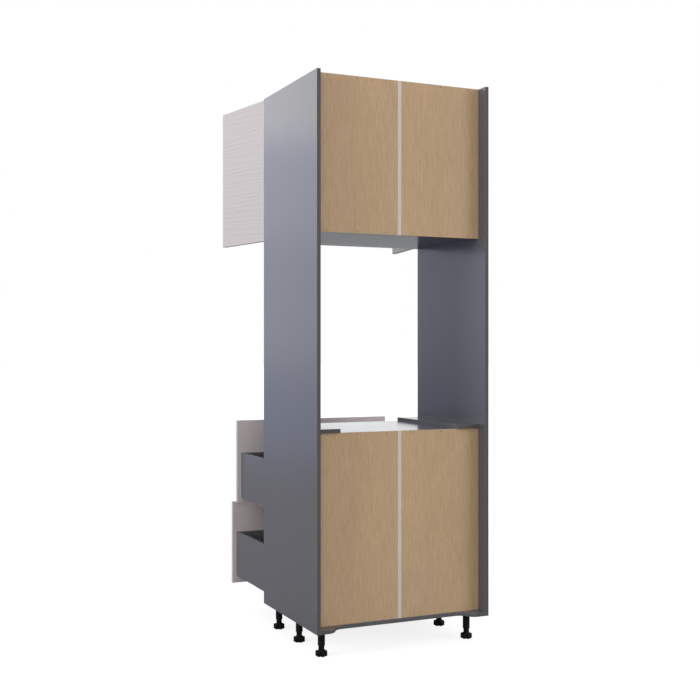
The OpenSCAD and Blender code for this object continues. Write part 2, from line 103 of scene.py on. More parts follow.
def link(tree, source, target):
    tree.links.new(source, target)


def fill_socket(tree, socket, value):
    """Gives a socket a plain value, or joins another node's socket to it."""
    if isinstance(value, bpy.types.NodeSocket):
        link(tree, value, socket)
    else:
        socket.default_value = value


def new_node(tree, kind, **values):
    """A node of that kind; each value is one of its properties or of its sockets."""
    node = tree.nodes.new(kind)
    for name, value in values.items():
        if hasattr(node, name):
            setattr(node, name, value)
        else:
            fill_socket(tree, node.inputs[name.replace("_", " ")], value)
    return node


def maths(tree, operation, *values, clamp=False):
    """A Math node on numbers or sockets; returns its output socket."""
    node = tree.nodes.new("ShaderNodeMath")
    node.operation = operation
    node.use_clamp = clamp
    for socket, value in zip(node.inputs, values):
        fill_socket(tree, socket, value)
    return node.outputs[0]


def spread(tree, value, from_low, from_high, to_low, to_high):
    """A Map Range node, which slides one span of numbers onto another and stops there."""
    return new_node(tree, "ShaderNodeMapRange", Value=value, From_Min=from_low,
                    From_Max=from_high, To_Min=to_low, To_Max=to_high).outputs[0]


# %% [markdown]
# ## Studio
# A pale floor and an even white surround, which the camera, gloss and glass all
# find. Diffuse rays find a softer sky, so the unit is never over-lit to get a
# white background. The floor is lifted to white for the camera and keeps the
# shadow. The lift grows with distance, so that no edge shows at the horizon.

# %% World
SKY = (0.60, 0.62, 0.66, 1.0)
SKY_STRENGTH = 0.78

world = bpy.data.worlds.new("studio")
scene.world = world
world.use_nodes = True
tree = world.node_tree
tree.nodes.clear()
path = tree.nodes.new("ShaderNodeLightPath")
direct = maths(tree, "MAXIMUM", path.outputs["Is Camera Ray"], path.outputs["Is Glossy Ray"])
direct = maths(tree, "MAXIMUM", direct, path.outputs["Is Transmission Ray"])
sky = new_node(tree, "ShaderNodeBackground", Color=SKY, Strength=SKY_STRENGTH)
backdrop = new_node(tree, "ShaderNodeBackground", Color=WHITE, Strength=1.0)
choose = tree.nodes.new("ShaderNodeMixShader")
link(tree, direct, choose.inputs[0])
link(tree, sky.outputs[0], choose.inputs[1])
link(tree, backdrop.outputs[0], choose.inputs[2])
link(tree, choose.outputs[0], tree.nodes.new("ShaderNodeOutputWorld").inputs[0])

# %% Floor
FLOOR_HALF = 60.0
FLOOR_COLOUR = (0.30, 0.30, 0.305, 1.0)
LIFT_NEAR = 0.83
LIFT_FAR = 1.0
GLOSS_LIFT_NEAR = 0.0
GLOSS_LIFT_FAR = 0.27

bpy.ops.object.select_all(action="DESELECT")
bpy.ops.mesh.primitive_plane_add(size=2 * FLOOR_HALF, location=(0, 0, 0))
floor = bpy.context.object
floor.name = "floor"
floor_paint = bpy.data.materials.new("pale_floor")
floor_paint.use_nodes = True
tree = floor_paint.node_tree
tree.nodes.clear()
where = tree.nodes.new("ShaderNodeTexCoord")
reach = new_node(tree, "ShaderNodeVectorMath", operation="LENGTH")
link(tree, where.outputs["Object"], reach.inputs[0])
path = tree.nodes.new("ShaderNodeLightPath")
seen = maths(tree, "MAXIMUM", path.outputs["Is Camera Ray"], path.outputs["Is Transmission Ray"])
seen = maths(tree, "MULTIPLY", seen,
             spread(tree, reach.outputs["Value"], 2.0, 7.0, LIFT_NEAR, LIFT_FAR))
in_gloss = maths(tree, "MULTIPLY", path.outputs["Is Glossy Ray"],
                 spread(tree, reach.outputs["Value"], 4.0, 14.0, GLOSS_LIFT_NEAR, GLOSS_LIFT_FAR))
paint = new_node(tree, "ShaderNodeBsdfDiffuse", Color=FLOOR_COLOUR)
lift = new_node(tree, "ShaderNodeEmission", Color=WHITE,
                Strength=maths(tree, "ADD", seen, in_gloss))
add = tree.nodes.new("ShaderNodeAddShader")
link(tree, paint.outputs[0], add.inputs[0])
link(tree, lift.outputs[0], add.inputs[1])
link(tree, add.outputs[0], tree.nodes.new("ShaderNodeOutputMaterial").inputs[0])
floor.data.materials.append(floor_paint)

# %% [markdown]
# ## Lamps
# Large soft boxes. Two behind the unit light the backs, one off the right-hand side
# lights that face and the insides of the drawer fronts, and one in front lights the
# doors. These four light only the matt share of a surface, so that no face turns into
# a glare. Four dimmer ones are there for gloss: the grey side mirrors three one above
# another, bright at the top and bluish at eye height, and the shelf mirrors the fourth.

# %% Lamps
UNIT_MIDDLE = Vector((0.0, 0.0, 1.3))


def softbox(name, place, size, power, tint, in_gloss=False):
    """A large square lamp, aimed at the unit; gloss shows it only if asked."""
    lamp = bpy.data.lights.new(name, "AREA")
    lamp.shape = "SQUARE"
    lamp.size = size
    lamp.energy = power
    lamp.color = tint
    holder = bpy.data.objects.new(name, lamp)
    scene.collection.objects.link(holder)
    holder.location = place
    holder.rotation_euler = (UNIT_MIDDLE - Vector(place)).to_track_quat("-Z", "Y").to_euler()
    holder.visible_glossy = in_gloss


softbox("rear_right", (3.4, 7.6, 2.9), 4.0, 178.0, (1.0, 0.985, 0.975))
softbox("rear_left", (-5.8, 6.0, 3.0), 4.0, 226.0, (1.0, 0.985, 0.975))
softbox("side_key", (7.7, 1.0, 3.0), 3.6, 392.0, (0.95, 0.98, 1.0))
softbox("front_fill", (-3.6, -5.2, 4.6), 2.6, 130.0, (0.96, 0.98, 1.0))
softbox("high_gloss", (2.9, -6.4, 4.8), 3.0, 34.0, (1.0, 0.96, 0.97), in_gloss=True)
softbox("middle_gloss", (2.9, -6.6, 3.9), 3.2, 14.0, (0.86, 0.88, 1.0), in_gloss=True)
softbox("cool_horizon", (3.0, -7.0, 1.6), 4.0, 26.0, (0.30, 0.46, 1.0), in_gloss=True)
softbox("shelf_gloss", (-4.0, -9.3, 2.1), 2.2, 9.4, (0.90, 0.95, 1.0), in_gloss=True)

# %% [markdown]
# ## Shared effects
# Four node groups hold what more than one finish uses. `tone_drift` lets a colour
# wander by a few per cent, as any real sheet does. `fibre` draws wood fibre along
# one direction. `tooth` is the fine texture pressed into laminate and moulded
# plastic. `dust` lightens faces that look up.

# %% Group helpers


def node_group(name, inputs, outputs):
    """An empty shader group with its named sockets; returns tree, input, output."""
    group = bpy.data.node_groups.new(name, "ShaderNodeTree")
    for direction, sockets in (("INPUT", inputs), ("OUTPUT", outputs)):
        for label, kind, *default in sockets:
            socket = group.interface.new_socket(label, in_out=direction, socket_type=kind)
            if default:
                socket.default_value = default[0]
    return group, group.nodes.new("NodeGroupInput"), group.nodes.new("NodeGroupOutput")


def place_group(tree, group, **values):
    """The group as one node in a material, with its inputs set or linked by name."""
    node = tree.nodes.new("ShaderNodeGroup")
    node.node_tree = group
    for name, value in values.items():
        fill_socket(tree, node.inputs[name], value)
    return node


def colour_mix(tree, factor, first, second):
    """A Mix node for colours; returns its output socket."""
    mix = new_node(tree, "ShaderNodeMix", data_type="RGBA")
    for socket, value in zip((mix.inputs[0], mix.inputs[6], mix.inputs[7]),
                             (factor, first, second)):
        fill_socket(tree, socket, value)
    return mix.outputs[2]


# %% Tone drift
tone_drift, inside, outside = node_group(
    "tone_drift",
    [("Vector", "NodeSocketVector"), ("Color", "NodeSocketColor"),
     ("Amount", "NodeSocketFloat", 0.05), ("Size", "NodeSocketFloat", 2.0)],
    [("Color", "NodeSocketColor"), ("Mask", "NodeSocketFloat")],
)
clouds = new_node(tone_drift, "ShaderNodeTexNoise", Vector=inside.outputs["Vector"],
                  Scale=inside.outputs["Size"], Detail=4.0, Roughness=0.55)
swing = maths(tone_drift, "SUBTRACT", clouds.outputs["Fac"], 0.5)
swing = maths(tone_drift, "MULTIPLY", swing, inside.outputs["Amount"])
swing = maths(tone_drift, "MULTIPLY_ADD", swing, 2.0, 1.0)
shade = new_node(tone_drift, "ShaderNodeVectorMath", operation="SCALE")
link(tone_drift, inside.outputs["Color"], shade.inputs[0])
link(tone_drift, swing, shade.inputs["Scale"])
link(tone_drift, shade.outputs[0], outside.inputs["Color"])
link(tone_drift, clouds.outputs["Fac"], outside.inputs["Mask"])

# %% Fibre
fibre, inside, outside = node_group(
    "fibre",
    [("Vector", "NodeSocketVector"), ("Light", "NodeSocketColor"),
     ("Dark", "NodeSocketColor"), ("Contrast", "NodeSocketFloat", 0.5)],
    [("Color", "NodeSocketColor"), ("Height", "NodeSocketFloat")],
)
coarse = new_node(fibre, "ShaderNodeTexNoise", Vector=inside.outputs["Vector"],
                  Scale=1.0, Detail=5.0, Roughness=0.62, Distortion=0.6)
fine = new_node(fibre, "ShaderNodeTexNoise", Vector=inside.outputs["Vector"],
                Scale=4.3, Detail=3.0, Roughness=0.7)
wide = maths(fibre, "MULTIPLY", coarse.outputs["Fac"], 0.55)
both = maths(fibre, "MULTIPLY_ADD", fine.outputs["Fac"], 0.45, wide)
swing = maths(fibre, "SUBTRACT", both, 0.5)
swing = maths(fibre, "MULTIPLY", swing, inside.outputs["Contrast"])
swing = maths(fibre, "MULTIPLY_ADD", swing, 4.0, 0.5, clamp=True)
link(fibre, colour_mix(fibre, swing, inside.outputs["Dark"], inside.outputs["Light"]),
     outside.inputs["Color"])
link(fibre, both, outside.inputs["Height"])

# %% Tooth
tooth, inside, outside = node_group(
    "tooth",
    [("Vector", "NodeSocketVector"), ("Size", "NodeSocketFloat", 900.0)],
    [("Height", "NodeSocketFloat")],
)
grain = new_node(tooth, "ShaderNodeTexNoise", Vector=inside.outputs["Vector"],
                 Scale=inside.outputs["Size"], Detail=2.0, Roughness=0.5)
pits = new_node(tooth, "ShaderNodeTexVoronoi", Vector=inside.outputs["Vector"],
                Scale=inside.outputs["Size"])
link(tooth, maths(tooth, "MULTIPLY_ADD", pits.outputs["Distance"], 0.4, grain.outputs["Fac"]),
     outside.inputs["Height"])

# %% Dust
DUST = (0.45, 0.43, 0.41, 1.0)

dust, inside, outside = node_group(
    "dust",
    [("Vector", "NodeSocketVector"), ("Color", "NodeSocketColor"),
     ("Amount", "NodeSocketFloat", 0.06)],
    [("Color", "NodeSocketColor")],
)
facing = dust.nodes.new("ShaderNodeNewGeometry")
split = new_node(dust, "ShaderNodeSeparateXYZ", Vector=facing.outputs["Normal"])
upward = maths(dust, "GREATER_THAN", split.outputs["Z"], 0.85)
specks = new_node(dust, "ShaderNodeTexNoise", Vector=inside.outputs["Vector"],
                  Scale=60.0, Detail=6.0, Roughness=0.75)
cover = maths(dust, "MULTIPLY", specks.outputs["Fac"], upward)
cover = maths(dust, "MULTIPLY", cover, inside.outputs["Amount"], clamp=True)
link(dust, colour_mix(dust, cover, inside.outputs["Color"], DUST), outside.inputs["Color"])

# %% [markdown]
# ## Finishes
# The carcass is faced with a dark grey laminate, smooth enough to mirror the room when
# you look along it, as the oven shelf shows. The fronts are wrapped in a taupe film
# with a pressed grain, the backs are printed hardboard, and the legs are black moulded
# plastic. Each finish is one Principled shader: values that are the same all over stay
# on its own sockets, and the drifting ones come from the groups.

# %% Finish helpers


def start_finish(name, rough, **plain):
    """A material with its plain values set on the Principled sockets."""
    material = bpy.data.materials.new(name)
    material.use_nodes = True
    shader = material.node_tree.nodes["Principled BSDF"]
    shader.inputs["Roughness"].default_value = rough
    for socket, value in plain.items():
        shader.inputs[socket.replace("_", " ")].default_value = value
    return material, material.node_tree, shader


def stretched(tree, scale=(1.0, 1.0, 1.0), coordinate="Object"):
    """Object coordinates, or another kind, stretched by a Mapping node."""
    where = tree.nodes.new("ShaderNodeTexCoord")
    mapping = new_node(tree, "ShaderNodeMapping", Vector=where.outputs[coordinate])
    mapping.inputs["Scale"].default_value = scale
    return mapping.outputs[0]


def bump_from(tree, shader, height, depth):
    """Joins a height to the shader's Normal as a bump of that depth in metres."""
    bump = new_node(tree, "ShaderNodeBump", Height=height, Strength=1.0, Distance=depth)
    link(tree, bump.outputs[0], shader.inputs["Normal"])


def rough_drift(tree, shader, mask, low, high):
    """Lets the roughness wander between two values with a mask."""
    link(tree, spread(tree, mask, 0.25, 0.75, low, high), shader.inputs["Roughness"])


# %% Smooth sheet and moulded finishes


def toothed(name, colour, rough, drift, tooth_size, depth, ior, dusty=False):
    """A sheet or a moulding: tone and gloss that drift, a fine tooth, dust if asked."""
    material, tree, shader = start_finish(name, rough[0], IOR=ior)
    place = stretched(tree)
    tone = place_group(tree, tone_drift, Vector=place, Color=colour, Amount=drift[0],
                       Size=drift[1])
    top = tone
    if dusty:
        top = place_group(tree, dust, Vector=place, Color=tone.outputs["Color"], Amount=0.04)
    link(tree, top.outputs["Color"], shader.inputs["Base Color"])
    rough_drift(tree, shader, tone.outputs["Mask"], *rough)
    pressed = place_group(tree, tooth, Vector=place, Size=tooth_size)
    bump_from(tree, shader, pressed.outputs["Height"], depth)
    return material


def laminate(name, colour, rough, depth):
    """Melamine-faced board, with dust on the faces that look up."""
    return toothed(name, colour, rough, (0.05, 1.7), 700.0, depth, 1.38, dusty=True)


GREY = (0.104, 0.099, 0.108, 1.0)
GREY_TAPE = (0.086, 0.079, 0.075, 1.0)
# A lighter grey for the bevelled board corners: a painted highlight along each edge, not the
# laminate's own colour.
GREY_PAINTED_HIGHLIGHT = (0.150, 0.146, 0.152, 1.0)
PLASTIC_DRIFT = (0.06, 14.0)
grey_face = laminate("grey_laminate", GREY, (0.19, 0.25), 0.000003)
grey_tape = laminate("grey_edge_tape", GREY_TAPE, (0.50, 0.58), 0.000006)
grey_painted_highlight = laminate("grey_painted_highlight_corner", GREY_PAINTED_HIGHLIGHT, (0.40, 0.46), 0.000003)
strip_plastic = toothed("strip_plastic", (0.60, 0.53, 0.50, 1.0), (0.34, 0.42),
                        PLASTIC_DRIFT, 900.0, 0.000006, 1.48)
black_plastic = toothed("black_plastic", (0.004, 0.004, 0.004, 1.0), (0.50, 0.62),
                        PLASTIC_DRIFT, 1200.0, 0.00001, 1.30)

# %% Taupe front film
TAUPE = (0.530, 0.474, 0.466, 1.0)
TAUPE_DARK = (0.475, 0.421, 0.413, 1.0)
taupe_plain = toothed("taupe_plain_film", TAUPE, (0.38, 0.46), (0.04, 2.4), 800.0, 0.000006, 1.46)

# On the outer face a fine grain runs across the front, along U.
taupe_grained, tree, shader = start_finish("taupe_grained_film", 0.42, IOR=1.46)
look = place_group(tree, fibre, Vector=stretched(tree, (10.0, 260.0, 1.0), "UV"), Light=TAUPE,
                   Dark=TAUPE_DARK, Contrast=0.5)
link(tree, look.outputs["Color"], shader.inputs["Base Color"])
bump_from(tree, shader, look.outputs["Height"], 0.00005)
rough_drift(tree, shader, look.outputs["Height"], 0.38, 0.50)

# %% Printed hardboard
BOARD_LIGHT = (0.534, 0.371, 0.225, 1.0)
BOARD_DARK = (0.426, 0.284, 0.161, 1.0)

hardboard, tree, shader = start_finish("printed_hardboard", 0.62, IOR=1.45)
printed = place_group(tree, fibre, Vector=stretched(tree, (150.0, 150.0, 13.0)),
                      Light=BOARD_LIGHT, Dark=BOARD_DARK, Contrast=0.95)
mottled = place_group(tree, tone_drift, Vector=stretched(tree, (3.0, 3.0, 0.8)),
                      Color=printed.outputs["Color"], Amount=0.10, Size=2.2)
link(tree, mottled.outputs["Color"], shader.inputs["Base Color"])
bump_from(tree, shader, printed.outputs["Height"], 0.00005)

# %% Steels and timber


def steel(name, colour, low, high, stretch):
    """Plated steel: rolled lines along one direction and a drifting gloss."""
    material, tree, shader = start_finish(name, low, Metallic=1.0)
    darker = tuple(0.8 * c for c in colour[:3]) + (1.0,)
    look = place_group(tree, fibre, Vector=stretched(tree, stretch), Light=colour,
                       Dark=darker, Contrast=0.6)
    link(tree, look.outputs["Color"], shader.inputs["Base Color"])
    rough_drift(tree, shader, look.outputs["Height"], low, high)
    bump_from(tree, shader, look.outputs["Height"], 0.000006)
    return material


zinc = steel("zinc_plate", (0.56, 0.57, 0.59, 1.0), 0.26, 0.44, (160.0, 12.0, 160.0))
nickel = steel("nickel_plate", (0.62, 0.60, 0.57, 1.0), 0.16, 0.30, (240.0, 240.0, 60.0))
nail_steel = steel("dark_nail_steel", (0.17, 0.135, 0.105, 1.0), 0.40, 0.60, (300.0, 300.0, 300.0))

beech, tree, shader = start_finish("beech_dowel", 0.6)
look = place_group(tree, fibre, Vector=stretched(tree, (20.0, 500.0, 500.0)),
                   Light=(0.62, 0.44, 0.27, 1.0), Dark=(0.45, 0.29, 0.16, 1.0), Contrast=0.7)
link(tree, look.outputs["Color"], shader.inputs["Base Color"])
bump_from(tree, shader, look.outputs["Height"], 0.00006)
print("finishes:", len(bpy.data.materials))

# %% [markdown]
# ## Carried CAD pieces
# Some solids are already the shape of the real piece: the thin back sheets and the
# dowels that no one sees. They keep their mesh and only get a finish.

# %% Dress the carried pieces


def dress(piece, *finishes):
    """Gives a piece these materials, in slot order."""
    piece.data.materials.clear()
    for finish in finishes:
        piece.data.materials.append(finish)


for node in ("back_upper_left", "back_upper_right", "back_lower_left", "back_lower_right"):
    dress(frame["nodes"][node], hardboard)
dress(frame["nodes"]["carcass_dowels"], beech)

# %% [markdown]
# ## Bench copies
# A board's outline, bores and grooves come from the CAD. The CAD mesh is loose
# triangles, so a copy is merged and its flat faces are joined. Then the copy can be
# worked like any mesh: its long corners are eased with a small bevel, as a board's
# edge is after the tape is trimmed, and the strip behind each taped edge is marked
# off with a bisect and given the tape's finish.

# %% Bench helpers


def leave_edit():
    """Goes back to object mode if a mesh is being edited."""
    if bpy.context.mode != "OBJECT":
        bpy.ops.object.mode_set(mode="OBJECT")


def take_up(piece):
    """Makes a piece the only selected one, ready for an operator."""
    leave_edit()
    bpy.ops.object.select_all(action="DESELECT")
    piece.select_set(True)
    bpy.context.view_layer.objects.active = piece


def bench_copy(node, name):
    """A merged copy of a CAD node's mesh, left in edit mode with all of it selected."""
    piece = bpy.data.objects.new(name, frame["nodes"][node].data.copy())
    scene.collection.objects.link(piece)
    take_up(piece)
    bpy.ops.object.mode_set(mode="EDIT")
    bpy.ops.mesh.select_mode(type="EDGE")
    bpy.ops.mesh.select_all(action="SELECT")
    bpy.ops.mesh.customdata_custom_splitnormals_clear()
    bpy.ops.mesh.remove_doubles(threshold=0.000001)
    bpy.ops.mesh.dissolve_limited(angle_limit=math.radians(0.5))
    return piece


def pick(piece, kind, wanted, among):
    """Selects the edges or faces that are wanted, only among selected ones if asked."""
    bpy.ops.mesh.select_mode(type=kind)
    mesh = bmesh.from_edit_mesh(piece.data)
    parts = mesh.edges if kind == "EDGE" else mesh.faces
    chosen = [part for part in parts if (part.select or not among) and wanted(part)]
    bpy.ops.mesh.select_all(action="DESELECT")
    for part in chosen:
        part.select_set(True)
    bmesh.update_edit_mesh(piece.data)


def pick_edges(piece, wanted, among=False):
    """Selects the edges for which wanted(edge) is true."""
    pick(piece, "EDGE", wanted, among)


def pick_faces(piece, wanted, among=False):
    """Selects the faces for which wanted(face) is true."""
    pick(piece, "FACE", wanted, among)


def outer_corner(shortest):
    """True for sharp convex edges at least that long."""
    def wanted(edge):
        return (
            len(edge.link_faces) == 2
            and edge.calc_length() >= shortest
            and edge.is_convex
            and edge.calc_face_angle() > math.radians(40)
        )
    return wanted


def ease_corners(piece, width, shortest=0.012, segments=2, slot=1):
    """Bevels the long outer corners; the new faces take a material slot."""
    pick_edges(piece, outer_corner(shortest))
    bpy.ops.mesh.bevel(offset=width, segments=segments, affect="EDGES",
                       clamp_overlap=False, material=slot)


def mark_tape(piece, axis, planes, slot=2):
    """Cuts the mesh at each plane along an axis; what lies beyond gets the slot."""
    for plane, side in planes:
        bpy.ops.mesh.select_all(action="SELECT")
        spot = [0.0, 0.0, 0.0]
        spot[axis] = plane
        normal = [0.0, 0.0, 0.0]
        normal[axis] = 1.0
        bpy.ops.mesh.bisect(plane_co=spot, plane_no=normal)
        mesh = bmesh.from_edit_mesh(piece.data)
        for face in mesh.faces:
            beyond = side * (face.calc_center_median()[axis] - plane) > 0
            if beyond and face.material_index == 0:
                face.material_index = slot
        bmesh.update_edit_mesh(piece.data)


def put_down(piece, body, slot_name, *nodes):
    """Leaves edit mode; the piece rides on its body and stands for its CAD nodes."""
    leave_edit()
    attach(piece, body)
    if nodes:
        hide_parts(*nodes)
    print(piece.name, len(piece.data.polygons), "faces")


# %% [markdown]
# ## Carcass boards
# The two sides, the four cross panels, the loose shelf and the oven rails. Sides are
# taped front and back; cross panels only in front, where they show.

# %% Carcass boards
EASE = 0.0007
TAPE = 0.0010


def carcass_board(node, tape_back, shortest=0.012):
    """A laminated board of the carcass with eased corners and taped edges."""
    low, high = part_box(node)
    piece = bench_copy(node, node + "_board")
    # Slot 1, on the bevel faces, is the lighter grey that paints a highlight line along each
    # corner.
    dress(piece, grey_face, grey_painted_highlight, grey_tape)
    ease_corners(piece, EASE, shortest)
    planes = [(low.y + TAPE, -1)]
    if tape_back:
        planes.append((high.y - TAPE, 1))
    mark_tape(piece, 1, planes)
    put_down(piece, "carcass", "carcass_board", node)


for node in ("side_panel_left", "side_panel_right", "oven_rail_left", "oven_rail_right"):
    carcass_board(node, tape_back=True)
for node in ("top_panel", "oven_shelf", "cupboard_floor", "adjustable_shelf"):
    carcass_board(node, tape_back=False)
carcass_board("bottom_panel", tape_back=True, shortest=0.0008)

# %% [markdown]
# ## Drawer boxes
# Each box is four boards round a grooved-in base. The top edges are taped, because
# they are what a hand meets.

# %% Drawer boxes


def box_board(node, body):
    """A drawer box board with eased corners and tape along its top edge."""
    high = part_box(node)[1]
    piece = bench_copy(node, node + "_board")
    # Slot 1, on the bevel faces, is the lighter grey that paints a highlight line along each
    # corner.
    dress(piece, grey_face, grey_painted_highlight, grey_tape)
    ease_corners(piece, EASE)
    if not node.endswith("base"):
        mark_tape(piece, 2, [(high.z - TAPE, 1)])
    put_down(piece, body, "carcass_board", node)


for level in ("upper", "lower"):
    for part in ("left", "right", "front", "back", "base"):
        box_board(f"{level}_box_{part}", f"{level}_drawer")

# %% [markdown]
# ## Fronts with a pressed grain
# The film on the doors and drawer fronts has a wavy grain that runs across the unit.
# It is deep enough to catch the light, so it is real geometry: the outer face is cut
# into a fine ladder of faces and pushed in by a band-noise texture. Each door is
# first turned shut about its hinge pin, so that the grain runs level across it.

# %% Grain texture and the stretched space that it is read in
RELIEF = 0.00048
RIM = 0.004
BORDER = 0.006

grain_bands = bpy.data.textures.new("grain_bands", "WOOD")
grain_bands.wood_type = "BANDNOISE"
grain_bands.noise_basis_2 = "SIN"
grain_bands.noise_scale = 0.9
grain_bands.turbulence = 8.0
bpy.ops.object.select_all(action="DESELECT")
bpy.ops.object.empty_add(location=(0.13, 0.0, 0.07))
stretch = bpy.context.object
stretch.scale = (1 / 1.3, 1.0, 1 / 33.0)
bpy.context.view_layer.update()

# %% Cut the ladder and press the grain


class Panel:
    """The part of a front's outer face that lies inside its rim."""

    def __init__(self, piece):
        mesh = bmesh.from_edit_mesh(piece.data)
        corners = [v.co for f in mesh.faces if f.select for v in f.verts]
        self.low = Vector(min(c[i] for c in corners) for i in range(3))
        self.high = Vector(max(c[i] for c in corners) for i in range(3))

    def gap(self, co):
        """How far a point lies inside the panel's border; below zero outside it."""
        if abs(co.y - self.low.y) > 1e-5:
            return -1.0
        return min(co.x - self.low.x, self.high.x - co.x, co.z - self.low.z, self.high.z - co.z)

    def holds_edge(self, axis):
        """True for edges of the panel that run along an axis."""
        def wanted(edge):
            a, b = (v.co for v in edge.verts)
            return (min(self.gap(a), self.gap(b)) > -1e-5 and edge.calc_length() > 0.001
                    and abs((b - a).normalized()[axis]) > 0.999)
        return wanted


def press_grain(piece, columns):
    """Insets the outer face, cuts it into a ladder and pushes the grain into it."""
    mesh = bmesh.from_edit_mesh(piece.data)
    outer = max((f for f in mesh.faces if f.normal.y < -0.99), key=lambda f: f.calc_area())
    largest = outer.calc_area()
    pick_faces(piece, lambda f: f.normal.y < -0.99 and f.calc_area() > 0.9 * largest)
    bpy.ops.mesh.inset(thickness=RIM)
    panel = Panel(piece)
    for axis, cuts in ((2, 14), (2, 13), (0, columns)):
        pick_edges(piece, panel.holds_edge(axis))
        bpy.ops.mesh.subdivide(number_cuts=cuts)
    piece.vertex_groups.new(name="relief")
    mesh = bmesh.from_edit_mesh(piece.data)
    weights = mesh.verts.layers.deform.verify()
    for v in mesh.verts:
        gap = panel.gap(v.co)
        if gap > 0.0:
            v[weights][0] = min(1.0, gap / BORDER)
    for face in mesh.faces:
        if all(panel.gap(v.co) > -1e-5 for v in face.verts):
            face.material_index = 2
    bmesh.update_edit_mesh(piece.data)
    bpy.ops.mesh.select_all(action="SELECT")
    bpy.ops.uv.cube_project(cube_size=1.0, correct_aspect=False, scale_to_bounds=False)
    leave_edit()
    push = piece.modifiers.new("grain", "DISPLACE")
    push.texture = grain_bands
    push.texture_coords = "OBJECT"
    push.texture_coords_object = stretch
    push.direction = "Y"
    push.mid_level = 0.0
    push.strength = RELIEF
    push.vertex_group = "relief"
    take_up(piece)
    bpy.ops.object.modifier_apply(modifier="grain")
    bpy.ops.object.mode_set(mode="EDIT")


# %% Doors and drawer fronts
PIN = Vector((0.371, -0.309, 0.0))
OPEN_ANGLE = math.radians(100)
SHUT = {"door_right": (OPEN_ANGLE, PIN), "door_left": (-OPEN_ANGLE, Vector((-PIN.x, PIN.y, 0)))}


def swing_mesh(angle, pin):
    """Turns the whole mesh about an upright pin; a plus angle shuts the right door."""
    bpy.ops.mesh.select_all(action="SELECT")
    bpy.ops.transform.rotate(value=angle, orient_axis="Z", orient_type="GLOBAL",
                             center_override=pin)


def grained_front(node, body):
    """A film-wrapped front; a door is shut, worked and opened again."""
    piece = bench_copy(node, node + "_panel")
    dress(piece, taupe_plain, taupe_plain, taupe_grained)
    if node in SHUT:
        angle, pin = SHUT[node]
        swing_mesh(angle, pin)
    ease_corners(piece, 0.0012, segments=3)
    press_grain(piece, columns=28 if node in SHUT else 56)
    if node in SHUT:
        swing_mesh(-angle, pin)
    put_down(piece, body, "front_board", node)


for level in ("upper", "lower"):
    grained_front(f"{level}_drawer_front", f"{level}_drawer")
grained_front("door_right", "door_right")
grained_front("door_left", "door_left")
bpy.data.objects.remove(stretch)

# %% [markdown]
# ## Joint strips
# A plastic H-section holds the two halves of each back together. Its face is not
# flat: it has rounded edges and a shallow channel down the middle, so it gets both.

# %% Joint strips
for node in ("joint_strip_upper", "joint_strip_lower"):
    piece = bench_copy(node, node + "_moulding")
    dress(piece, strip_plastic)
    outer_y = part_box(node)[1].y
    pick_faces(piece, lambda f: f.normal.y > 0.99 and f.calc_center_median().y > outer_y - 1e-5)
    bpy.ops.mesh.inset(thickness=0.0045)
    bpy.ops.mesh.extrude_region_move(TRANSFORM_OT_translate={"value": (0, -0.0003, 0)})
    ease_corners(piece, 0.00035, shortest=0.3, segments=3, slot=0)
    put_down(piece, "carcass", "strip_plastic", node)

# %% [markdown]
# ## Turned and threaded parts
# Nails, screws, pins, legs and feet are all round. Each starts as one point that is
# extruded into a half profile, and the profile is spun about an axis, as on a lathe.
# A thread is a small triangle that the Screw modifier sweeps up a helix. One part is
# made at the origin, and copies of it go to their places.

# %% Lathe and thread helpers
UP = Vector((0, 0, 1))
MM = 0.001


def start_piece(name):
    """An empty piece at the origin, in edit mode, ready for primitives."""
    piece = bpy.data.objects.new(name, bpy.data.meshes.new(name))
    scene.collection.objects.link(piece)
    take_up(piece)
    bpy.ops.object.mode_set(mode="EDIT")
    return piece


def turn(profile, steps=32, centre=(0, 0, 0), axis=UP):
    """Spins a half profile of (radius, height) in millimetres about an axis."""
    axis = Vector(axis)
    outward = Vector((1, 0, 0)) if abs(axis.x) < 0.5 else Vector((0, 0, 1))
    spots = [Vector(centre) + (outward * r + axis * h) * MM for r, h in profile]
    bpy.ops.mesh.select_mode(type="VERT")
    bpy.ops.mesh.select_all(action="DESELECT")
    bpy.ops.mesh.primitive_plane_add(size=MM, location=spots[0])
    bpy.ops.mesh.merge(type="CENTER")
    for here, there in zip(spots, spots[1:]):
        bpy.ops.mesh.extrude_region_move(TRANSFORM_OT_translate={"value": there - here})
    bpy.ops.mesh.select_linked()
    bpy.ops.mesh.spin(steps=steps, angle=2 * math.pi, center=centre, axis=axis)
    bpy.ops.mesh.select_linked()
    bpy.ops.mesh.remove_doubles(threshold=0.000002)
    bpy.ops.mesh.normals_make_consistent(inside=False)


def add_block(low, high, rounding=0.0, segments=2):
    """A box between two corners in millimetres, its edges rounded; left selected."""
    low, high = Vector(low) * MM, Vector(high) * MM
    bpy.ops.mesh.select_mode(type="FACE")
    bpy.ops.mesh.select_all(action="DESELECT")
    bpy.ops.mesh.primitive_cube_add(size=1.0, location=(low + high) / 2, scale=high - low)
    if rounding:
        bpy.ops.mesh.bevel(offset=rounding * MM, segments=segments, affect="EDGES")


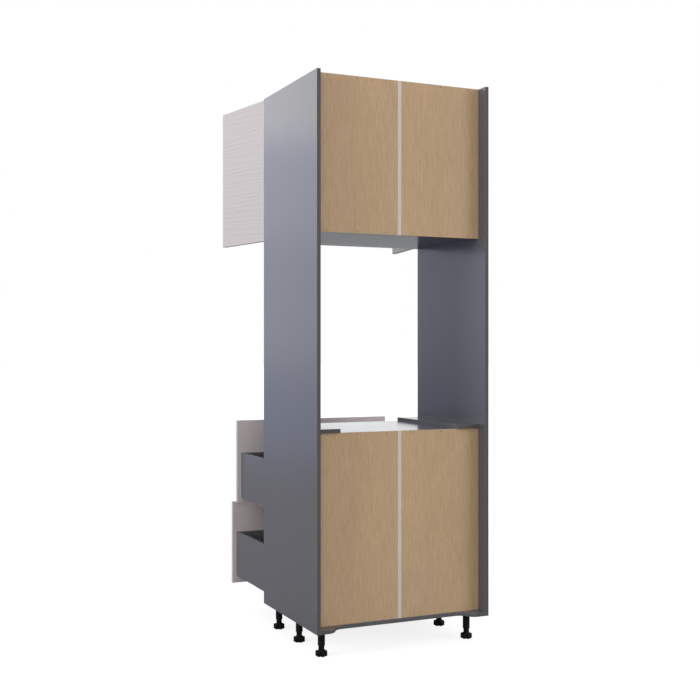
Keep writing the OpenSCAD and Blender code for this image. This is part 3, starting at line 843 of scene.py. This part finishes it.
def thread(name, root, crest, pitch, start, turns, steps):
    """A helical ridge as its own closed piece, in millimetres up from a height."""
    ridge = start_piece(name)
    middle = (root + crest) / 2
    bpy.ops.mesh.primitive_circle_add(vertices=3, radius=(crest - root) * 0.72 * MM,
                                      fill_type="NOTHING", location=(middle * MM, 0, start * MM),
                                      rotation=(math.pi / 2, 0, 0))
    bpy.ops.transform.rotate(value=math.pi / 2, orient_axis="Y", orient_type="GLOBAL",
                             center_override=(middle * MM, 0, start * MM))
    leave_edit()
    helix = ridge.modifiers.new("helix", "SCREW")
    helix.axis = "Z"
    helix.screw_offset = pitch * MM
    helix.iterations = turns
    helix.steps = steps
    helix.render_steps = steps
    bpy.ops.object.modifier_apply(modifier="helix")
    bpy.ops.object.mode_set(mode="EDIT")
    bpy.ops.mesh.select_all(action="SELECT")
    bpy.ops.mesh.remove_doubles(threshold=0.000001)
    bpy.ops.mesh.fill_holes(sides=3)
    bpy.ops.mesh.normals_make_consistent(inside=False)
    leave_edit()
    return ridge


def cut_with(piece, cutter):
    """Cuts another piece's shape out of this one and throws the cutter away."""
    take_up(piece)
    cut = piece.modifiers.new("cut", "BOOLEAN")
    cut.operation = "DIFFERENCE"
    cut.solver = "EXACT"
    cut.object = cutter
    bpy.ops.object.modifier_apply(modifier="cut")
    bpy.data.objects.remove(cutter)


def join(pieces):
    """Joins pieces into the first of them."""
    leave_edit()
    bpy.ops.object.select_all(action="DESELECT")
    for piece in pieces:
        piece.select_set(True)
    bpy.context.view_layer.objects.active = pieces[0]
    if len(pieces) > 1:
        bpy.ops.object.join()
    return pieces[0]


def set_out(model, name, places):
    """Copies a part to each place, each copy with its own mesh, and joins the copies."""
    copies = []
    for place in places:
        copy = model.copy()
        copy.data = model.data.copy()
        scene.collection.objects.link(copy)
        copy.matrix_world = place
        copies.append(copy)
    piece = join(copies)
    bpy.ops.object.transform_apply(location=True, rotation=True, scale=True)
    piece.name = name
    return piece


def smooth_turned(piece, degrees=35):
    """Leaves edit mode and shades smooth, but keeps the sharp rings."""
    take_up(piece)
    bpy.ops.object.shade_smooth_by_angle(angle=math.radians(degrees))


# %% [markdown]
# ## Nails
# The backs are nailed to the cross panels with small steel nails. Only their low
# domed heads show, with a faint dark line round each where it bites into the board.

# %% Back nails
NAIL_X = (60.0, 187.5, 315.0)
NAIL_Z = (863.0, 1661.0, 2263.0)
BACK_Y = 240.5
FACING_BACK = Matrix.Rotation(math.radians(-90), 4, "X")

nail = start_piece("nail")
turn([(0, 0.6), (1.1, 0.52), (1.7, 0.34), (2.0, 0.08), (2.0, -0.1), (0.8, -0.5),
      (0.8, -22.0), (0, -24.0)], steps=20)
smooth_turned(nail)
dress(nail, nail_steel)
places = [Matrix.Translation(Vector((s * x, BACK_Y, z)) * MM) @ FACING_BACK
          for z in NAIL_Z for s in (-1, 1) for x in NAIL_X]
put_down(set_out(nail, "back_nails_domed", places), "carcass", "zinc_steel", "back_nails")
bpy.data.objects.remove(nail)

# %% [markdown]
# ## Screws
# Three kinds: pan heads for the legs, hinge plates and drawer fronts, low heads for
# the runners, and countersunk heads in the oven rails. All have a cross recess, cut
# with a tapered cross, and a real thread.

# %% Screw models


def cross_cutter(top, depth, reach, width):
    """A tapered cross that points down from a height, to be cut out of a head."""
    cutter = start_piece("cross")
    half = width / 2
    add_block((-half, -half, top - depth), (half, half, top + 0.5))
    pick_faces(cutter, lambda f: abs(f.normal.z) < 0.1)
    bpy.ops.mesh.extrude_faces_move(TRANSFORM_OT_shrink_fatten={"value": (reach - half) * MM})
    pick_faces(cutter, lambda f: f.normal.z < -0.5)
    bpy.ops.transform.resize(value=(0.45, 0.45, 1), center_override=(0, 0, (top - depth) * MM))
    bpy.ops.mesh.select_all(action="SELECT")
    bpy.ops.mesh.normals_make_consistent(inside=False)
    leave_edit()
    return cutter


def screw_model(name, head, length):
    """A screw with its head's top up; its threaded shank runs down from z = 0."""
    screw = start_piece(name)
    turn(head + [(1.25, -0.3), (1.25, 2.2 - length), (0.5, 0.6 - length), (0, -length)], steps=28)
    top = head[0][1]
    cut_with(screw, cross_cutter(top, 1.3, 1.75, 0.75))
    ridge = thread(name + "_thread", 1.2, 1.75, 1.6, -length + 2.4, int((length - 5.0) / 1.6), 14)
    screw = join([screw, ridge])
    dress(screw, zinc)
    smooth_turned(screw)
    return screw


PAN_HEAD = [(0, 2.2), (1.2, 2.14), (2.1, 1.86), (2.7, 1.35), (3.0, 0.6), (3.0, 0.0), (1.8, 0.0)]
SUNK_HEAD = [(0, 0.0), (3.7, 0.0), (4.0, -0.25), (1.8, -3.0), (1.25, -3.2)]
LOW_HEAD = [(0, 1.5), (1.8, 1.42), (2.8, 1.1), (3.3, 0.5), (3.4, 0.0), (1.8, 0.0)]
UPWARD = Matrix.Rotation(math.pi, 4, "X")
TO_RIGHT_SIDE = Matrix.Rotation(math.radians(-90), 4, "Y")
TO_LEFT_SIDE = Matrix.Rotation(math.radians(90), 4, "Y")
TO_FRONT = Matrix.Rotation(math.radians(-90), 4, "X")


def at(x, y, z, turned=Matrix.Identity(4)):
    """A place in millimetres with a turn."""
    return Matrix.Translation(Vector((x, y, z)) * MM) @ turned


# %% Set out the screws
LEG_X = 326.0
LEG_Y = {"front": -256.0, "middle": -23.5, "rear": 209.0}
FLANGE_UNDER = 101.0
LEG_SCREW_OUT = 19.0
DIAGONALS = [math.radians(45 + 90 * quarter) for quarter in range(4)]
OVEN_RAIL_X = 313.5
OVEN_RAIL_TOP = 887.0
OVEN_SCREW_Y = (-246.0, -97.0, 52.0, 201.0)
HINGE_Z = (1751.5, 2177.5)
PLATE_FACE_X = 363.0
PLATE_SCREW_Y = -259.0
PLATE_SCREW_UP = 17.0
FRONT_SCREW_X = 250.0
BOX_FRONT_IN = {"upper": -642.0, "lower": -708.0}
FRONT_SCREW_Z = {"upper": (578.0, 679.0), "lower": (205.0, 306.0)}


def on_both_sides(x, spots):
    """Places at (y, z) spots beside both sides, each pointing out into its side."""
    return [at(s * x, y, z, turned) for s, turned in ((1, TO_RIGHT_SIDE), (-1, TO_LEFT_SIDE))
            for y, z in spots]


def fasten(model, name, places, body, *nodes):
    """One piece of equal steel fasteners, which rides on a body."""
    put_down(set_out(model, name, places), body, "zinc_steel", *nodes)


leg_screw = screw_model("leg_screw", PAN_HEAD, 16.0)
places = [at(s * LEG_X + LEG_SCREW_OUT * math.cos(angle), y + LEG_SCREW_OUT * math.sin(angle),
             FLANGE_UNDER, UPWARD) for s in (-1, 1) for y in LEG_Y.values() for angle in DIAGONALS]
fasten(leg_screw, "leg_screws_crossed", places, "carcass", "leg_screws")

rail_screw = screw_model("rail_screw", SUNK_HEAD, 27.0)
places = [at(s * OVEN_RAIL_X, y, OVEN_RAIL_TOP) for s in (-1, 1) for y in OVEN_SCREW_Y]
fasten(rail_screw, "rail_screws_sunk", places, "carcass", "rail_screws")

hinge_screw = screw_model("hinge_screw", PAN_HEAD, 12.0)
spots = [(PLATE_SCREW_Y, z + up) for z in HINGE_Z for up in (-PLATE_SCREW_UP, PLATE_SCREW_UP)]
fasten(hinge_screw, "hinge_screws_crossed", on_both_sides(PLATE_FACE_X, spots), "carcass",
       "hinge_screws")

front_screw = screw_model("front_screw", PAN_HEAD, 29.0)
for level, y in BOX_FRONT_IN.items():
    places = [at(s * FRONT_SCREW_X, y, z, TO_FRONT) for s in (-1, 1) for z in FRONT_SCREW_Z[level]]
    fasten(front_screw, f"{level}_front_screws_crossed", places, f"{level}_drawer",
           f"{level}_front_screws")

# %% [markdown]
# ## Shelf pins
# A nickel pin pushes into a hole in the side, up to its collar, and the shelf lies
# on what sticks out.

# %% Shelf pins
SIDE_FACE_X = 365.0
PIN_ROWS_Y = (-226.0, 167.5)
PIN_ROW_Z = 1962.0

shelf_pin = start_piece("shelf_pin")
turn([(0, 8.0), (1.9, 8.0), (2.45, 7.4), (2.45, 0.9), (3.4, 0.75), (3.6, 0.5), (3.6, 0.0),
      (2.45, 0.0), (2.45, -7.3), (2.0, -8.0), (0, -8.0)], steps=28)
dress(shelf_pin, nickel)
smooth_turned(shelf_pin)
places = on_both_sides(SIDE_FACE_X, [(y, PIN_ROW_Z) for y in PIN_ROWS_Y])
fasten(shelf_pin, "shelf_pins_collared", places, "carcass", "shelf_pins")

# %% [markdown]
# ## Legs
# A moulded leg is a tube with a rolled lip at its mouth and a flange at its head.
# Four gussets stiffen the flange between the screws. The profile holds the bore as
# well, so the wall is closed inside and out.

# %% Leg model
GUSSET_LOW = (13.0, -1.1, 84.0)
GUSSET_HIGH = (22.0, 1.1, 101.5)
SCREW_HOLE_R = 0.00185


def is_gusset_foot(edge):
    """True for the low outer edge of a gusset's block, which is pushed in to a slope."""
    return all(abs(v.co.x - GUSSET_HIGH[0] * MM) < 1e-6
               and abs(v.co.z - GUSSET_LOW[2] * MM) < 1e-6 for v in edge.verts)


leg = start_piece("leg")
turn([(0, 105.0), (24.0, 105.0), (24.5, 104.5), (24.5, 101.6), (24.0, 101.0), (15.6, 101.0),
      (14.6, 100.4), (14.3, 99.2), (14.1, 50.0), (14.1, 46.6), (14.5, 45.6), (14.5, 42.0),
      (14.1, 41.2), (13.6, 41.0), (12.5, 41.0), (12.1, 41.5), (12.1, 92.0), (0, 92.0)], steps=48)
holes = start_piece("holes")
for angle in DIAGONALS:
    spot = Vector((LEG_SCREW_OUT * math.cos(angle), LEG_SCREW_OUT * math.sin(angle), 103)) * MM
    bpy.ops.mesh.primitive_cylinder_add(vertices=24, radius=SCREW_HOLE_R, depth=0.008,
                                        location=spot)
cut_with(leg, holes)
take_up(leg)
bpy.ops.object.mode_set(mode="EDIT")
for quarter in range(4):
    angle = math.radians(90 * quarter)
    add_block(GUSSET_LOW, GUSSET_HIGH)
    pick_edges(leg, is_gusset_foot, among=True)
    bpy.ops.transform.translate(value=(-0.0088, 0, 0.001))
    bpy.ops.mesh.select_linked()
    bpy.ops.transform.rotate(value=-angle, orient_axis="Z", orient_type="GLOBAL",
                             center_override=(0, 0, 0))
dress(leg, black_plastic)
smooth_turned(leg, 30)
print("leg model:", len(leg.data.polygons), "faces")

# %% Place the legs


def set_six(model, kind, body=None):
    """Copies a leg or a foot to its six places; with no body named, each is its own."""
    for row, y in LEG_Y.items():
        for s, side in ((-1, "left"), (1, "right")):
            node = f"{kind}_{row}_{side}"
            piece = set_out(model, node + "_moulding", [at(s * LEG_X, y, 0)])
            put_down(piece, body or node, "black_plastic", node)
    bpy.data.objects.remove(model)


set_six(leg, "leg", "carcass")

# %% [markdown]
# ## Feet
# Each foot is a lobed grip on a coarse threaded stud, so that it can be turned by
# hand. The lobes come from a circle whose radius follows six round bosses, with a deep
# valley between each two. It is drawn up layer by layer with its rims rounded. The stud
# and its short collar are turned.

# %% Foot model
LOBES = 6
LOBE_AT = 16.0
LOBE_R = 7.5
BASE_SIZE = 0.93
LAYERS = [(0.0, 1.0), (0.5, 1.035), (1.2, 1.06), (2.0, 1.075), (18.6, 1.075), (19.6, 1.064),
          (20.2, 1.04), (20.5, 1.0)]


def lobed_radius(angle):
    """Distance from the axis to the lobed outline at an angle, in millimetres."""
    step = 2 * math.pi / LOBES
    off = angle % step - step / 2
    chord = LOBE_R ** 2 - (LOBE_AT * math.sin(off)) ** 2
    return max(LOBE_AT, LOBE_AT * math.cos(off) + math.sqrt(max(0.0, chord)))


foot = start_piece("foot")
bpy.ops.mesh.primitive_circle_add(vertices=LOBES * 20, radius=1.0, fill_type="NGON",
                                  location=(0, 0, 0))
mesh = bmesh.from_edit_mesh(foot.data)
for v in mesh.verts:
    angle = math.atan2(v.co.y, v.co.x)
    size = lobed_radius(angle) * MM * BASE_SIZE
    v.co.x, v.co.y = size * math.cos(angle), size * math.sin(angle)
bmesh.update_edit_mesh(foot.data)
bpy.ops.mesh.select_mode(type="FACE")
bpy.ops.mesh.select_all(action="SELECT")
bpy.ops.mesh.extrude_region_move(TRANSFORM_OT_translate={"value": (0, 0, 0)})
for (z0, grow0), (z1, grow1) in zip(LAYERS, LAYERS[1:]):
    bpy.ops.mesh.extrude_region_move(TRANSFORM_OT_translate={"value": (0, 0, (z1 - z0) * MM)})
    factor = grow1 / grow0
    bpy.ops.transform.resize(value=(factor, factor, 1), center_override=(0, 0, 0))
bpy.ops.mesh.select_all(action="SELECT")
bpy.ops.mesh.remove_doubles(threshold=0.000002)
bpy.ops.mesh.normals_make_consistent(inside=False)
pick_faces(foot, lambda f: f.normal.z < -0.9 and f.calc_center_median().z < 0.0001)
bpy.ops.mesh.inset(thickness=0.0025)
bpy.ops.mesh.extrude_region_move(TRANSFORM_OT_translate={"value": (0, 0, 0.0015)})
turn([(0, 19.8), (15.4, 19.8), (15.8, 20.8), (15.2, 21.6), (13.8, 23.0), (12.9, 23.9),
      (11.1, 24.3), (11.1, 75.0), (10.3, 76.0), (0, 76.0)], steps=40)
foot = join([foot, thread("stud_thread", 11.0, 11.97, 3.0, 26.0, 15, 32)])
dress(foot, black_plastic)
smooth_turned(foot, 30)
print("foot model:", len(foot.data.polygons), "faces")

# %% Place the feet
set_six(foot, "foot")

# %% [markdown]
# ## Runners
# The runners are folded sheet steel: a rail on the carcass side, a middle member and
# a slide under the box. Their sections come from the CAD. Here the folds are rounded,
# the rail's flange gets its punched slots, and low-headed screws hold it.

# %% Runner members
STEEL_FOLD = 0.0005
FLANGE_Z = {"upper": 524.0, "lower": 151.0}
FLANGE_FACE_X = 363.5
SLOT_X = 364.3
SLOT_HALF = Vector((3.0, 5.0, 2.2))
SLOT_Y = (-257.0, -225.0, -97.0, -33.0, 95.0, 159.0)
FIXING_Y = (-241.0, -17.0, 175.0)


def runs_across(edge):
    """True for edges that run from side to side, along X."""
    return abs((edge.verts[0].co - edge.verts[1].co).normalized().x) > 0.9


def slot_cutter(level):
    """Rounded slots through the flanges of one pair of rails."""
    cutter = start_piece("slots")
    for s in (-1, 1):
        for y in SLOT_Y:
            spot = Vector((s * SLOT_X, y, FLANGE_Z[level]))
            add_block(spot - SLOT_HALF, spot + SLOT_HALF)
            pick_edges(cutter, runs_across, among=True)
            bpy.ops.mesh.bevel(offset=0.002, segments=5, affect="EDGES")
    leave_edit()
    return cutter


rail_fixing = screw_model("rail_fixing", LOW_HEAD, 12.0)
for level in ("upper", "lower"):
    for member, body in (("rails", "carcass"), ("middles", f"{level}_runner_middles"),
                         ("slides", f"{level}_drawer")):
        node = f"{level}_runner_{member}"
        piece = bench_copy(node, node + "_folded")
        dress(piece, zinc)
        ease_corners(piece, STEEL_FOLD, shortest=0.3, slot=0)
        if member == "rails":
            cut_with(piece, slot_cutter(level))
        put_down(piece, body, "zinc_steel", node)
    places = on_both_sides(FLANGE_FACE_X, [(y, FLANGE_Z[level]) for y in FIXING_Y])
    fasten(rail_fixing, f"{level}_rail_fixings", places, "carcass")

# %% [markdown]
# ## Hinges
# A cup hinge has a pressed cup with a rolled rim let into the door, an arm that
# reaches out of the carcass, and a cross plate on the side. The cups turn with the
# doors, so they are worked with the door shut, as the fronts were.

# %% Hinge cups
CUP_X = 358.0
SEAT_Y = -299.0
CUP_SCREW_UP = 22.5

cup_screw = screw_model("cup_screw", [(0, 0.9), (2.2, 0.8), (3.3, 0.3), (3.4, 0), (1.8, 0)], 12.0)
for s, side in ((1, "right"), (-1, "left")):
    node = f"hinge_cups_{side}"
    angle, pin = SHUT[f"door_{side}"]
    piece = bench_copy(node, node + "_pressed")
    swing_mesh(angle, pin)
    ease_corners(piece, 0.0003, shortest=0.005, slot=0)
    for z in HINGE_Z:
        centre = Vector((s * CUP_X, SEAT_Y, z)) * MM
        turn([(16.7, 0.55), (17.4, 1.05), (18.5, 0.9), (18.9, 0.45), (18.6, 0.02), (16.7, 0.02),
              (16.7, 0.55)], steps=48, centre=centre, axis=(0, 1, 0))
        turn([(0, -12.4), (7.6, -12.4), (7.6, -12.1), (7.2, -11.8), (0, -11.8)],
             steps=24, centre=centre + Vector((-s * 4.0 * MM, 0, 0)), axis=(0, 1, 0))
    leave_edit()
    places = [at(s * CUP_X, SEAT_Y + 1.0, z + up, FACING_BACK)
              for z in HINGE_Z for up in (-CUP_SCREW_UP, CUP_SCREW_UP)]
    piece = join([piece, set_out(cup_screw, "cup_screws", places)])
    bpy.ops.object.mode_set(mode="EDIT")
    swing_mesh(-angle, pin)
    leave_edit()
    dress(piece, nickel)
    smooth_turned(piece)
    put_down(piece, f"door_{side}", "zinc_steel", node)

# %% Hinge arms
ARM_FACE_X = 354.4
LIP_REACH_X = 359.5
LIP_OUT = 6.4
LIP_IN = 5.5
LIP_Y = (-274.0, -232.2)
ARM_SCREWS = ((-268.0, 2.6, 1.7), (-244.0, 3.2, 2.1))


def arm_screw(radius, reach):
    """The low head of an adjusting screw, with a cross recess of that reach."""
    head = start_piece("arm_screw")
    turn([(0, 1.0), (radius - 0.5, 1.0), (radius, 0.6), (radius, -0.6), (0, -0.6)], steps=24)
    cut_with(head, cross_cutter(1.0, 0.5, reach, 0.7))
    dress(head, nickel)
    return head


piece = bench_copy("hinge_arms", "hinge_arms_folded")
dress(piece, nickel)
ease_corners(piece, 0.0004, shortest=0.004, slot=0)
for s in (-1, 1):
    for z in HINGE_Z:
        for edge in (-1, 1):
            xs = sorted((s * ARM_FACE_X, s * LIP_REACH_X))
            zs = sorted((z + edge * LIP_IN, z + edge * LIP_OUT))
            add_block((xs[0], LIP_Y[0], zs[0]), (xs[1], LIP_Y[1], zs[1]), rounding=0.3)
parts = [piece]
for y, radius, reach in ARM_SCREWS:
    head = arm_screw(radius, reach)
    places = on_both_sides(ARM_FACE_X, [(y, z) for z in HINGE_Z])
    parts.append(set_out(head, "arm_screws", places))
    bpy.data.objects.remove(head)
piece = join(parts)
smooth_turned(piece)
put_down(piece, "carcass", "zinc_steel", "hinge_arms")

# %% Hinge plates and pins
piece = bench_copy("hinge_plates", "hinge_plates_pressed")
dress(piece, nickel)
pick_edges(piece, lambda e: e.is_convex and len(e.link_faces) == 2 and e.calc_face_angle() > 1.2
           and 0.0015 < e.calc_length() < 0.0025
           and abs(e.verts[0].co.x - e.verts[1].co.x) > 0.0015)
bpy.ops.mesh.bevel(offset=0.004, segments=6, affect="EDGES")
ease_corners(piece, 0.0003, shortest=0.003, slot=0)
put_down(piece, "carcass", "zinc_steel", "hinge_plates")

piece = bench_copy("hinge_pins", "hinge_pins_turned")
dress(piece, nickel)
pick_edges(piece, lambda e: len(e.link_faces) == 2 and e.is_convex and e.calc_face_angle() > 1.2)
bpy.ops.mesh.bevel(offset=0.0004, segments=3, affect="EDGES")
smooth_turned(piece)
put_down(piece, "carcass", "zinc_steel", "hinge_pins")

# %% Clear the bench
for model in (leg_screw, rail_screw, hinge_screw, front_screw, shelf_pin, rail_fixing, cup_screw):
    bpy.data.objects.remove(model)

# %% [markdown]
# ## Finish
# The colours are shown as they are lit, with no film look.

# %% Finish
scene.view_settings.view_transform = "Standard"
